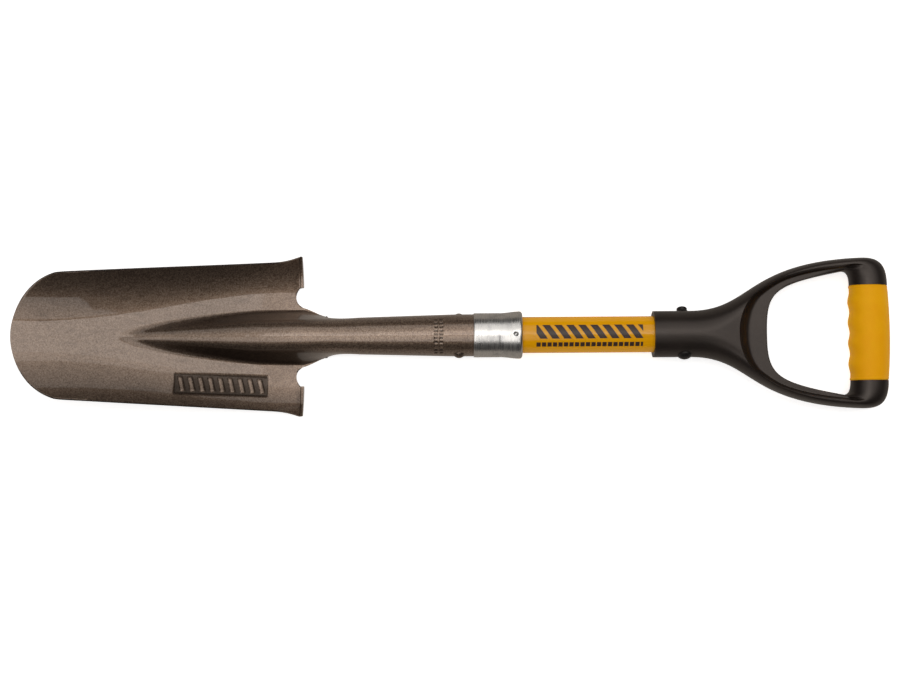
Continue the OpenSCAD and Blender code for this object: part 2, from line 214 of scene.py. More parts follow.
class Paint:
    """Builds one procedural material, node by node."""

    def __init__(self, name):
        self.material = bpy.data.materials.new(name)
        self.material.use_nodes = True
        self.tree = self.material.node_tree
        self.shader = self.tree.nodes["Principled BSDF"]
        self.coords = self.node("ShaderNodeTexCoord").outputs["Object"]

    def node(self, kind, **settings):
        made = self.tree.nodes.new(kind)
        for key, value in settings.items():
            setattr(made, key, value)
        return made

    def link(self, source, socket):
        self.tree.links.new(source, socket)

    def feed(self, socket, value):
        """Sets a socket to a number or colour, or links a node's output to it."""
        if isinstance(value, bpy.types.NodeSocket):
            self.link(value, socket)
        else:
            socket.default_value = value

    def set(self, **values):
        """Shader sockets by name, with underscores for spaces."""
        for key, value in values.items():
            self.feed(self.shader.inputs[key.replace("_", " ")], value)

    def math(self, operation, a, b=0.0, c=0.0):
        made = self.node("ShaderNodeMath", operation=operation)
        self.feed(made.inputs[0], a)
        self.feed(made.inputs[1], b)
        self.feed(made.inputs[2], c)
        return made.outputs[0]

    def scaled(self, factors):
        """The object coordinates, stretched by three factors."""
        made = self.node("ShaderNodeMapping")
        self.link(self.coords, made.inputs["Vector"])
        made.inputs["Scale"].default_value = factors
        return made.outputs[0]

    def noise(self, scale, detail=3.0, roughness=0.55, vector=None):
        made = self.node("ShaderNodeTexNoise")
        self.link(vector or self.coords, made.inputs["Vector"])
        made.inputs["Scale"].default_value = scale
        made.inputs["Detail"].default_value = detail
        made.inputs["Roughness"].default_value = roughness
        return made.outputs["Fac"]

    def cells(self, scale):
        made = self.node("ShaderNodeTexVoronoi")
        self.link(self.coords, made.inputs["Vector"])
        made.inputs["Scale"].default_value = scale
        return made.outputs["Color"]

    def span(self, value, low, high, to_low=0.0, to_high=1.0):
        """Maps low..high to to_low..to_high, clamped and eased."""
        made = self.node("ShaderNodeMapRange", interpolation_type="SMOOTHSTEP")
        self.feed(made.inputs["Value"], value)
        for key, number in (("From Min", low), ("From Max", high),
                            ("To Min", to_low), ("To Max", to_high)):
            made.inputs[key].default_value = number
        return made.outputs[0]

    def blend(self, factor, a, b, mode="MIX"):
        """Mixes two colours."""
        made = self.node("ShaderNodeMix", data_type="RGBA", blend_type=mode)
        self.feed(made.inputs[0], factor)
        self.feed(made.inputs[6], a)
        self.feed(made.inputs[7], b)
        return made.outputs[2]

    def mark(self, name):
        """The value that build steps stored on the mesh's points under this name."""
        return self.node("ShaderNodeAttribute", attribute_name=name).outputs["Fac"]

    def bump(self, height, distance_mm, strength, under=None):
        made = self.node("ShaderNodeBump")
        made.inputs["Strength"].default_value = strength
        made.inputs["Distance"].default_value = distance_mm * MM
        self.link(height, made.inputs["Height"])
        if under is not None:
            self.link(under, made.inputs["Normal"])
        return made.outputs[0]

    def axes(self):
        """The x, y and z of the object coordinates."""
        made = self.node("ShaderNodeSeparateXYZ")
        self.link(self.coords, made.inputs[0])
        return made.outputs[0], made.outputs[1], made.outputs[2]

    def band(self, value, low, high, soft):
        """One between low and high, falling to zero over soft on either side."""
        rise = self.span(value, low - soft, low + soft)
        fall = self.span(value, high - soft, high + soft, 1.0, 0.0)
        return self.math("MULTIPLY", rise, fall)


def rgb(r, g, b):
    """An sRGB colour given in 0..255, as linear RGBA."""
    def linear(c):
        c = c / 255
        return c / 12.92 if c <= 0.04045 else ((c + 0.055) / 1.055) ** 2.4
    return (linear(r), linear(g), linear(b), 1.0)


def coated_steel():
    """Bronze-brown flake paint under clear lacquer, with fine grain and rubbed marks."""
    p = Paint("coated_steel")
    flakes = p.span(p.cells(1250), 0.15, 0.85)
    grain = p.noise(900, 3, 0.65)
    streaks = p.noise(1.0, 4, 0.6, p.scaled((26, 300, 300)))
    clouds = p.noise(16, 4)
    base = p.blend(p.span(clouds, 0.35, 0.7), rgb(86, 69, 56), rgb(97, 79, 66))
    base = p.blend(p.span(grain, 0.42, 0.7), base, rgb(132, 114, 99))
    base = p.blend(p.math("MULTIPLY", flakes, 0.4), base, rgb(149, 131, 115))
    base = p.blend(p.span(streaks, 0.5, 0.75, 0.0, 0.4), base, rgb(72, 57, 46))
    smudges = p.span(p.noise(34, 5, 0.7), 0.56, 0.74)
    base = p.blend(p.math("MULTIPLY", smudges, 0.35), base, rgb(68, 54, 44))
    # The soil rubs the blade duller than the socket
    along, _, _ = p.axes()
    worn_x = -0.19
    fresh_x = -0.10
    fresh = p.span(along, worn_x, fresh_x)
    wear = p.blend(fresh, (0.80, 0.79, 0.78, 1), (1.22, 1.2, 1.18, 1))
    base = p.blend(1.0, base, wear, "MULTIPLY")
    # Painted shade: where the mesh stores it, the paint darkens and the coat thins. That is the
    # panel's recess, the ticks, the foot steps' bends and the ridge's steep flanks, most of all
    # the lower one.
    pressed = p.math("MULTIPLY", p.mark("pressed"), 0.8)
    base = p.blend(pressed, base, rgb(34, 27, 22))
    rough = p.span(grain, 0.3, 0.75, 0.32, 0.46)
    waves = p.bump(p.noise(42, 2, 0.4), 0.5, 0.35)
    coat = p.math("SUBTRACT", p.span(along, worn_x, fresh_x, 0.72, 1.0),
                  p.math("MULTIPLY", pressed, 0.7))
    p.set(Base_Color=base, Metallic=0.85, Roughness=rough)
    p.set(Coat_Weight=coat, Coat_Roughness=0.04, Coat_IOR=1.45)
    normal = p.bump(flakes, 0.03, 0.35, p.bump(grain, 0.06, 0.7, waves))
    p.set(Normal=normal, Coat_Normal=p.bump(p.noise(260, 2), 0.02, 0.35, waves))
    return p.material


def steel_edge():
    """The sheared edge of the sheet: darker, partly bare steel and partly painted shade that
    outlines the blade; duller and nicked.
    """
    p = Paint("steel_edge")
    nicks = p.noise(420, 5, 0.7)
    base = p.blend(p.span(nicks, 0.35, 0.7), rgb(44, 35, 29), rgb(66, 54, 46))
    base = p.blend(p.span(nicks, 0.64, 0.72), base, rgb(120, 108, 98))
    p.set(Base_Color=base, Metallic=0.5, Roughness=p.span(nicks, 0.3, 0.7, 0.45, 0.65))
    p.set(Normal=p.bump(nicks, 0.12, 0.5))
    return p.material


def zinc():
    """Galvanised sleeve: bright, lightly drawn round the axis, with dull spots."""
    p = Paint("zinc")
    drawn = p.noise(1.0, 3, 0.6, p.scaled((900, 25, 25)))
    spangle = p.noise(160, 4, 0.65)
    base = p.blend(p.span(spangle, 0.45, 0.7), rgb(208, 206, 203), rgb(182, 181, 180))
    rough = p.span(drawn, 0.3, 0.7, 0.24, 0.36)
    p.set(Base_Color=base, Metallic=1.0, Roughness=rough)
    normal = p.bump(drawn, 0.02, 0.35)
    normal = p.bump(spangle, 0.08, 0.35, normal)
    p.set(Normal=normal)
    return p.material


def yellow_tube():
    """Gel-coated fibreglass with a printed band of slanted bars over a dashed rule."""
    print_start = 0.0635
    print_end = 0.1470
    bar_start = 0.0640
    bar_pitch = 0.00935
    bar_slant = 0.010       # metres along the shaft for each radian round it
    dash_pitch = 0.0043
    p = Paint("yellow_tube")
    x, y, z = p.axes()
    fibres = p.noise(1.0, 3, 0.6, p.scaled((18, 420, 420)))
    clouds = p.noise(60, 3)
    base = p.blend(p.span(fibres, 0.3, 0.75), rgb(230, 160, 0), rgb(236, 167, 0))
    base = p.blend(p.span(clouds, 0.55, 0.8, 0.0, 0.3), base, rgb(216, 142, 0))
    angle = p.math("ARCTAN2", y, p.math("SUBTRACT", z, AXIS_Z))
    along = p.math("MULTIPLY_ADD", angle, bar_slant, x)
    bars = p.math("FRACT", p.math("DIVIDE", p.math("SUBTRACT", along, bar_start), bar_pitch))
    bars = p.span(bars, 0.60, 0.66, 1.0, 0.0)
    bars = p.math("MULTIPLY", bars, p.band(angle, math.radians(-15), math.radians(30), 0.012))
    dashes = p.math("FRACT", p.math("DIVIDE", p.math("SUBTRACT", x, print_start), dash_pitch))
    dashes = p.span(dashes, 0.76, 0.82, 1.0, 0.0)
    dashes = p.math("MULTIPLY", dashes,
                    p.band(angle, math.radians(-43), math.radians(-27), 0.012))
    ink = p.math("MULTIPLY", p.math("MAXIMUM", bars, dashes),
                 p.band(x, print_start, print_end, 0.0002))
    speck = p.span(p.noise(1400, 4, 0.7), 0.24, 0.36)
    ink = p.math("MULTIPLY", ink, speck)
    base = p.blend(ink, base, rgb(58, 44, 36))
    p.set(Base_Color=base, Roughness=p.span(ink, 0.0, 1.0, 0.16, 0.34), Specular_IOR_Level=0.38)
    normal = p.bump(fibres, 0.03, 0.25)
    normal = p.bump(ink, 0.03, 0.6, normal)
    p.set(Normal=normal)
    return p.material


def moulded_plastic():
    """Satin black polypropylene with a fine sparked texture and faint scuffs."""
    p = Paint("handle_plastic")
    spark = p.noise(1500, 3, 0.6)
    clouds = p.noise(38, 4)
    scuffs = p.span(p.noise(1.0, 5, 0.7, p.scaled((60, 240, 60))), 0.62, 0.74)
    base = p.blend(p.span(clouds, 0.35, 0.7), rgb(23, 18, 16), rgb(30, 24, 21))
    base = p.blend(p.math("MULTIPLY", scuffs, 0.3), base, rgb(60, 50, 45))
    rough = p.span(spark, 0.3, 0.7, 0.33, 0.45)
    p.set(Base_Color=base, Roughness=rough)
    p.set(Specular_IOR_Level=0.58, Specular_Tint=rgb(255, 241, 232))
    p.set(Normal=p.bump(spark, 0.03, 0.5))
    return p.material


def soft_grip():
    """Matt yellow-orange rubber with a fine moulded grain, darker where it is handled."""
    p = Paint("soft_grip")
    grain = p.noise(1300, 3)
    clouds = p.noise(45, 4)
    base = p.blend(p.span(clouds, 0.35, 0.7), rgb(252, 175, 0), rgb(255, 183, 2))
    base = p.blend(p.span(grain, 0.5, 0.8, 0.0, 0.35), base, rgb(238, 158, 0))
    dust = p.span(p.noise(210, 5, 0.7), 0.66, 0.76)
    base = p.blend(p.math("MULTIPLY", dust, 0.25), base, rgb(180, 112, 20))
    p.set(Base_Color=base, Roughness=p.span(grain, 0.3, 0.7, 0.5, 0.66))
    p.set(Subsurface_Weight=0.06, Subsurface_Scale=0.002, Specular_IOR_Level=0.16)
    p.set(Normal=p.bump(grain, 0.04, 0.5))
    return p.material


def rivet_metal(name, dark, light, wear, rough_low, rough_high, metallic):
    """Coated rivet steel, rubbed through in places."""
    p = Paint(name)
    patches = p.noise(260, 5, 0.7)
    hammer = p.noise(700, 3)
    base = p.blend(p.span(patches, 0.35, 0.7), dark, light)
    base = p.blend(p.span(patches, 0.62, 0.72), base, wear)
    rough = p.span(hammer, 0.3, 0.7, rough_low, rough_high)
    p.set(Base_Color=base, Metallic=metallic, Roughness=rough)
    p.set(Normal=p.bump(hammer, 0.08, 0.5))
    return p.material


def core_wood():
    """Plain turned hardwood, with grain along the dowel."""
    p = Paint("core_wood")
    grain = p.noise(1.0, 5, 0.65, p.scaled((12, 340, 340)))
    base = p.blend(p.span(grain, 0.3, 0.7), rgb(176, 136, 92), rgb(204, 168, 122))
    p.set(Base_Color=base, Roughness=p.span(grain, 0.3, 0.7, 0.55, 0.75))
    p.set(Normal=p.bump(grain, 0.1, 0.4))
    return p.material


STEEL = coated_steel()
STEEL_EDGE = steel_edge()
ZINC = zinc()
YELLOW = yellow_tube()
BLACK = moulded_plastic()
GRIP = soft_grip()
RIVET_BROWN = rivet_metal("rivet_bronze", rgb(104, 90, 80), rgb(132, 116, 104),
                          rgb(190, 176, 164), 0.25, 0.42, 0.9)
RIVET_BLACK = rivet_metal("rivet_black", rgb(34, 31, 30), rgb(48, 44, 42),
                          rgb(92, 88, 86), 0.28, 0.45, 0.5)
WOOD = core_wood()


# ---------- head: blade, ridge, foot steps, neck and socket in one sheet ----------

SHEET = 1.8
TIP_X = HEAD_LOW.x + 0.25
TIP_R = 51.0
TIP_HALF = 48.5
TIP_CORNER = 1.6
HEEL_HALF = 60.0
STEP_FLARE = 2.9
STEP_X = -121.3
BEND_R = 2.6
STEP_HEIGHT = 10.0
STEP_BASE_X = STEP_X - BEND_R
FLARE_X = -143.0
NOTCH_X = -117.6
NOTCH_Y = 32.4
NOTCH_R = 9.4
NOTCH_START = math.radians(23)
NECK_X = NOTCH_X - NOTCH_R * math.sin(NOTCH_START)
NECK_R = 14.2
NECK_CLOSED_X = -76.0
SOCKET_R = 16.65
SOCKET_END_X = HEAD_HIGH.x
BLADE_LIFT = math.tan(math.radians(13))
HEEL_FLOOR = -AXIS_Z / MM + SHEET / 2 - 1.1
RIDGE_FRONT_X = -251.0
CREST_FRONT_Z = 13.0
CREST_FRONT_R = 5.5
CREST_R = NECK_R - SHEET / 2
FLANK_FRONT = 26        # degrees, slope of the ridge's sides at its front
FLANK_BACK = 71
BOWL_FRONT_X = -320.0   # the flat middle of the bowl widens from here
BOWL_LENGTH = 190.0
PANEL_X = -185.0
PANEL_Y = -38.2
PANEL_DEPTH = 0.7
BAR_RISE = 0.85
TICK_ROWS = (-15.1, -10.9)
TICK_DEPTH = 0.5
TICK_PITCH = 11.5       # degrees round the socket
SEAM_TURN = 178         # degrees from the crest to the open seam
TIP_END_X = TIP_X + TIP_R - math.sqrt(TIP_R**2 - TIP_HALF**2)
STEP_HALF = HEEL_HALF + STEP_FLARE
NOTCH_TURN = math.pi - math.asin((NOTCH_X - STEP_BASE_X) / NOTCH_R)


def rounded_max(a, b, fillet):
    """The higher of two values, with a fillet where they cross."""
    h = np.maximum(0, fillet - np.abs(a - b)) / np.maximum(fillet, 1e-9)
    return np.maximum(a, b) + h * h * fillet / 4


def blade_y(x, share):
    """Distance from the middle at a share of the width; the tip's corners are rounded."""
    past_middle = x - TIP_X - TIP_R
    circle = np.sqrt(np.maximum(0, TIP_R**2 - np.minimum(0, past_middle) ** 2))
    circle = circle + np.maximum(0, past_middle)
    side = mix(TIP_HALF, HEEL_HALF, clamp01((x - TIP_END_X) / (STEP_X - TIP_END_X)))
    y = -rounded_max(-circle, -side * np.abs(share), TIP_CORNER * np.abs(share) ** 6)
    y = y + np.abs(share) * STEP_FLARE * clamp01((x - FLARE_X) / (STEP_BASE_X - FLARE_X)) ** 2
    return np.sign(share) * y


def bowl(x, y):
    share = ease((x - BOWL_FRONT_X) / BOWL_LENGTH)
    beyond = np.maximum(0, np.abs(y) - mix(10, 35, share))
    curl = 0.0005 * y * y + mix(0.00895, 0.0144, share) * beyond**2
    return HEEL_FLOOR + np.maximum(0, NOTCH_X - x) * BLADE_LIFT + curl


def ridge_share(x):
    return clamp01((x - RIDGE_FRONT_X) / (STEP_X - RIDGE_FRONT_X))


def ridge(x, y):
    u = ridge_share(x)
    crest_z = mix(CREST_FRONT_Z, CREST_R, u)
    crest_r = mix(CREST_FRONT_R, CREST_R, clamp01(1.4 * u))
    flank = np.radians(mix(FLANK_FRONT, FLANK_BACK, u**0.55))
    cap = np.minimum(np.abs(y), crest_r * np.sin(flank))
    side = np.maximum(0, np.abs(y) - crest_r * np.sin(flank))
    return crest_z - crest_r + np.sqrt(crest_r**2 - cap**2) - side * np.tan(flank)


def pressed_panel(x, y):
    """Depth of the plain stamped panel: a shallow recess with raised upright bars."""
    half_length = 36.5
    half_width = 8.8
    edge = 1.2
    pitch = 7.6
    bar_half = 1.9
    bar_reach = 5.8
    bar_edge = 0.9
    along = x - PANEL_X
    across = y - PANEL_Y + 0.035 * along
    inside = ease((half_length - np.abs(along)) / edge)
    inside = inside * ease((half_width - np.abs(across)) / edge)
    slant = along + 0.25 * across
    off_bar = np.abs((slant / pitch + 0.5) % 1 - 0.5) * pitch
    bar = ease((bar_half - off_bar) / bar_edge) * ease((bar_reach - np.abs(across)) / bar_edge)
    bar = bar * (np.abs(slant) < 4.4 * pitch)
    return inside * (-PANEL_DEPTH + BAR_RISE * bar)


def blade_z(x, y):
    b = bowl(x, y)
    r = ridge(x, y)
    return rounded_max(b, r, mix(2.5, 6, ridge_share(x))) + pressed_panel(x, y)


def socket_mid_r(x):
    taper = mix(NECK_R, SOCKET_R, clamp01((x + 90) / 90)) - SHEET / 2
    return taper + 0.5 * clamp01((x - 36) / (SOCKET_END_X - 36))


def neck_z_y(x, share, y_heel):
    """The rolled section at x: share runs from the crest to the seam."""
    turn = math.radians(SEAM_TURN) * share
    r = socket_mid_r(x)
    roll = clamp01((x - NECK_X) / (NECK_CLOSED_X - NECK_X)) ** 1.15
    y = mix(y_heel, r * np.sin(turn), roll)
    z = mix(blade_z(np.full_like(y_heel, NECK_X), y_heel), r * np.cos(turn), roll)
    return y, z


def stamped_ticks(x, turn):
    """Depth of the plain stamped ticks: two short rows round the socket."""
    row = sum(ease((1.8 - np.abs(x - row_x)) / 0.5) for row_x in TICK_ROWS)
    off_tick = np.abs((turn / TICK_PITCH + 0.5) % 1 - 0.5) * TICK_PITCH
    return TICK_DEPTH * row * ease((3.6 - off_tick) / 1.6) * (np.abs(turn + 6) < 62)


def flank_shade(row):
    """How much painted shade each point of a row gets on the ridge's steep flanks: most on the
    lower flank.
    """
    slope = np.abs(np.gradient(row[:, 2], row[:, 1]))
    most = np.where(row[:, 1] < 0, 0.85, 0.4)
    return most * ease((slope - 0.5) / 1.0) * (np.abs(row[:, 1]) < 27)


def head_grid():
    """Points and quads of the sheet's middle surface, and how much painted shade each point gets.
    """
    inner = np.linspace(0, NOTCH_Y - NOTCH_R * math.cos(NOTCH_START), 61)
    notch_turn = np.linspace(NOTCH_START, NOTCH_TURN, 19)[1:]
    notch = NOTCH_Y - NOTCH_R * np.cos(notch_turn)
    outer = np.linspace(notch[-1], STEP_HALF, 30)[1:]
    half = np.concatenate([inner, notch, outer])
    end_x = np.concatenate([np.full(len(inner), NECK_X),
                            NOTCH_X - NOTCH_R * np.sin(notch_turn),
                            np.full(len(outer), STEP_BASE_X)])
    share_up = half / STEP_HALF
    share = np.concatenate([-share_up[:0:-1], share_up])
    end = np.concatenate([end_x[:0:-1], end_x])
    n_inner, n_mid = len(inner) - 1, len(notch)
    columns = np.arange(len(share)) - (len(half) - 1)
    middle_x = stretch((-272, -226, 2.0), (-226, -146, 0.55), (-146, FLARE_X, 1.0))
    front = np.linspace(0, 1, 34)[:-1]
    back = np.linspace(0, 1, 15)[1:]

    def blade_row(x):
        y = blade_y(np.minimum(x, STEP_BASE_X), share)
        return np.stack([x, y, blade_z(x, y)], axis=-1)

    tip_y = share * TIP_HALF
    arc_x = TIP_X + TIP_R - np.sqrt(TIP_R**2 - tip_y**2)
    rows = [blade_row(mix(arc_x, middle_x[0], f)) for f in front]
    rows += [blade_row(np.full(len(share), x)) for x in middle_x]
    rows += [blade_row(mix(middle_x[-1], end, f)) for f in back]
    # Painted shade: the panel's recess and the ridge's steep flanks are marked to be painted
    # darker.
    marks = [np.maximum(np.clip(-pressed_panel(row[:, 0], row[:, 1]) / PANEL_DEPTH, 0, 1),
                        flank_shade(row))
             for row in rows]
    width = len(share)
    faces = grid_faces(len(rows), width)

    # The neck and the socket go on from the inner columns
    keep = np.abs(columns) <= n_inner
    neck_x = stretch((NECK_X, NECK_CLOSED_X, 1.4), (NECK_CLOSED_X, -18, 3.0),
                     (-18, -8, 0.4), (-8, SOCKET_END_X, 3.0))[1:]
    y_heel = share[keep] * STEP_HALF
    share_turn = columns[keep] / n_inner
    flat = [np.concatenate(rows)]
    base = len(flat[0])
    last = (len(rows) - 1) * width + np.flatnonzero(keep)
    for x in neck_x:
        y, z = neck_z_y(x, share_turn, y_heel)
        depth = stamped_ticks(x, SEAM_TURN * share_turn)
        sink = 1 - depth / np.hypot(y, z)
        row = np.stack([np.full(len(y), x), y * sink, z * sink], axis=-1)
        flat.append(row)
        # Painted shade: the ticks' dents darken, and the flanks' painted shade fades out along
        # the neck.
        fade = 1 - clamp01((x - NECK_X) / 30)
        marks.append(np.maximum(np.clip(depth / TICK_DEPTH, 0, 1),
                                fade * marks[len(rows) - 1][keep]))
        now = base + np.arange(len(y))
        faces += [(last[j], now[j], now[j + 1], last[j + 1]) for j in range(len(y) - 1)]
        last = now
        base += len(y)

    # The foot steps turn up from the outer columns
    angles = np.radians([15, 30, 45, 60, 75, 90])
    for side in (-1, 1):
        keep = columns * side >= n_inner + n_mid
        last = (len(rows) - 1) * width + np.flatnonzero(keep)
        start = rows[-1][keep]
        rises = [(BEND_R * math.sin(a), BEND_R * (1 - math.cos(a))) for a in angles]
        rises += [(BEND_R, h) for h in np.linspace(BEND_R, STEP_HEIGHT, 6)[1:]]
        for forward, rise in rises:
            row = start + np.array([forward, 0, rise])
            flat.append(row)
            # Painted shade along the inside of the foot steps' bends.
            marks.append(np.full(len(row), 0.6 * (rise < BEND_R)))
            now = base + np.arange(len(row))
            faces += [(last[j], now[j], now[j + 1], last[j + 1]) for j in range(len(row) - 1)]
            last = now
            base += len(row)
    return np.concatenate(flat), faces, np.concatenate(marks)


def build_head():
    points, faces, marks = head_grid()
    head = make_object("shovel_head", points, faces, STEEL, marks=marks)
    head.data.materials.append(STEEL_EDGE)
    thick = head.modifiers.new("sheet", "SOLIDIFY")
    thick.thickness = SHEET * MM
    thick.offset = 0
    thick.use_even_offset = True
    thick.material_offset_rim = 1
    add_bevel(head, 0.45, 3)
    apply_modifiers(head, 60)
    # Only the blade's sheared outline keeps the darker edge paint, bare steel with painted shade
    # along the outline; the foot steps' and socket's edges are coated
    for face in head.data.polygons:
        if face.center.x > (FLARE_X + 4) * MM:
            face.material_index = 0
    place(head, "head")


# ---------- ferrule ----------

def build_ferrule():
    wall = 0.75
    lip_r = 2.2
    seat_r = SOCKET_R + 0.05
    flare_x = 35.8
    lip_x = FERRULE_HIGH.x - lip_r
    front_x = FERRULE_LOW.x
    back_x = FERRULE_HIGH.x
    crimp_x = 47.4
    swage_x = 35.6
    outer = [(front_x, seat_r + 0.15), (front_x + 0.12, seat_r + wall - 0.2),
             (front_x + 0.5, seat_r + wall)]
    outer += [(x, seat_r + wall) for x in np.linspace(front_x + 1.5, flare_x - 0.6, 22)]
    outer += [(x, mix(seat_r + wall, FERRULE_LIP_R, ease((x - flare_x) / (lip_x - flare_x))))
              for x in np.linspace(flare_x, lip_x, 26)]
    outer += [(lip_x + lip_r * math.sin(a), FERRULE_LIP_R - lip_r * (1 - math.cos(a)))
              for a in np.radians(np.arange(8, 91, 8))]
    shoulder = [(back_x - 0.1, r)
                for r in np.linspace(FERRULE_LIP_R - lip_r - 0.3, SHAFT_R + 0.4, 6)]
    shoulder += [(back_x - 0.4, SHAFT_R + 0.1), (back_x - wall - 0.2, SHAFT_R + 0.1)]
    inner = [(x, mix(seat_r, FERRULE_LIP_R - wall, ease((x - flare_x) / (lip_x - flare_x))))
             for x in np.linspace(lip_x, flare_x, 12)]
    inner += [(front_x + 0.2, seat_r)]

    def dress(x, radius, turn):
        """A crimp dimple and the swaged edge's faint step."""
        outside = radius > seat_r + wall * 0.6
        from_top = np.minimum(turn, 2 * math.pi - turn)
        near = np.exp(-((np.hypot(x - crimp_x, from_top * radius) / 1.5) ** 4))
        far = np.exp(-((np.hypot(x - crimp_x, (from_top - math.pi) * radius) / 1.7) ** 4))
        step = np.exp(-(((x - swage_x) / 0.5) ** 2))
        return radius - outside * (1.1 * (near + far) + 0.12 * step)

    ferrule = lathe("ferrule_sleeve", outer + shoulder + inner, ZINC, 220, dress)
    place(ferrule, "ferrule")


# ---------- shaft ----------

def build_shaft():
    bore = SHAFT_R - 3.3
    outer = [(SHAFT_LOW.x, SHAFT_R - 0.4), (SHAFT_LOW.x + 0.4, SHAFT_R)]
    outer += [(x, SHAFT_R) for x in np.linspace(SHAFT_LOW.x + 4, SHAFT_HIGH.x - 4, 60)]
    outer += [(SHAFT_HIGH.x - 0.4, SHAFT_R), (SHAFT_HIGH.x, SHAFT_R - 0.4)]
    inner = [(SHAFT_HIGH.x, bore), (SHAFT_LOW.x, bore)]
    shaft = lathe("fibreglass_shaft", outer + inner, YELLOW, 128)
    place(shaft, "shaft")


# ---------- D-handle ----------

HANDLE_R = 18.3
MOUTH_X = HANDLE_LOW.x
BACK_X = GRIP_HIGH.x
GRIP_HALF = GRIP_HIGH.y
ARM_T = 14.5
BAR_R = 11.5
YOKE_X = 185             # where the round socket starts to widen
BAR_X = 326.2
BACK_R2 = 900.0         # twice the radius that the grip's back bulges with
ARM_OUTER = [(YOKE_X, HANDLE_R), (235, HANDLE_R), (229, 56), (319, HANDLE_HIGH.y)]
ARM_INNER = [(246, 0), (246, 32), (250, 38), (305, 48.5)]
RIM = [(221.8, 0), (221.8, 24.5), (238, 48), (305, 53)]
CORNER_OUTER = [(319, HANDLE_HIGH.y), (335, HANDLE_HIGH.y + 0.8), (341.2, 55),
                (BACK_X - GRIP_HALF**2 / BACK_R2, GRIP_HALF)]
CORNER_INNER = [(305, 48.5), (309.5, 49.3), (312, 46), (311.8, GRIP_HALF)]
MOUTH_RINGS = 26


def handle_rings():
    """Outer end, inner end and place of each section: below 0 on the arm, 0 to 1 round
    the corner."""
    outer, inner, corner = [], [], []
    for a in np.linspace(0, 1, MOUTH_RINGS, endpoint=False):
        turn = a * math.pi / 2
        outer.append((MOUTH_X, HANDLE_R * math.sin(turn)))
        inner.append(bezier(ARM_INNER, 0.13 * math.sin(turn)))
        corner.append(-1)
    for a in np.linspace(0, 1, 14, endpoint=False):
        outer.append((mix(MOUTH_X, YOKE_X, a), HANDLE_R))
        inner.append(bezier(ARM_INNER, mix(0.13, 0.20, a)))
        corner.append(-1)
    for a in np.linspace(0, 1, 110, endpoint=False):
        outer.append(bezier(ARM_OUTER, a))
        inner.append(bezier(ARM_INNER, 0.20 + 0.44 * a + 0.36 * a**3))
        corner.append(a - 1)
    for a in np.linspace(0, 1, 40):
        outer.append(bezier(CORNER_OUTER, a))
        inner.append(bezier(CORNER_INNER, a))
        corner.append(a)
    return np.array(outer, float), np.array(inner, float), np.array(corner)


def distance_to(path, points):
    """Plan distance from each point to a polyline, and which side of it the point is on."""
    best = np.full(points.shape[:-1], 1e9)
    side = np.zeros(points.shape[:-1])
    for a, b in zip(path[:-1], path[1:]):
        ab = b - a
        rel = points - a
        t = clamp01((rel @ ab) / max(ab @ ab, 1e-12))
        d = np.linalg.norm(rel - t[..., None] * ab, axis=-1)
        closer = d < best
        best = np.where(closer, d, best)
        side = np.where(closer, np.sign(ab[0] * rel[..., 1] - ab[1] * rel[..., 0]), side)
    return best, side


def rim_shares(outer, inner):
    """Where each section crosses the rim of the recess, as a share of its width."""
    path = bezier(RIM, np.linspace(0, 1, 90))
    low, high = np.zeros(len(outer)), np.ones(len(outer))
    for _ in range(18):
        middle = (low + high) / 2
        _, side = distance_to(path, mix(outer, inner, middle[:, None]))
        outside = side > 0
        low = np.where(outside, middle, low)
        high = np.where(outside, high, middle)
    return np.clip(low, 0.3, 0.94)


def corner_kept(share, corner):
    """The rim's share stays as it is at the arm's end all the way round the corner."""
    return np.where(corner >= 0, share[np.flatnonzero(corner < 0)[-1]], share)


def body_height(points):
    """Half thickness of the yoke over each plan point, before the recess is sunk."""
    side = np.concatenate([[(MOUTH_X - 5, HANDLE_R)], bezier(ARM_OUTER, np.linspace(0, 1, 90)),
                           bezier(CORNER_OUTER, np.linspace(0, 1, 24))])
    d_out, _ = distance_to(side, points)
    settle = ease((points[..., 0] - 196) / 56)
    thick = mix(HANDLE_R, ARM_T, settle)
    rounding = mix(HANDLE_R, 4.6, settle)
    return thick * np.sqrt(1 - (1 - clamp01(d_out / rounding)) ** 2)


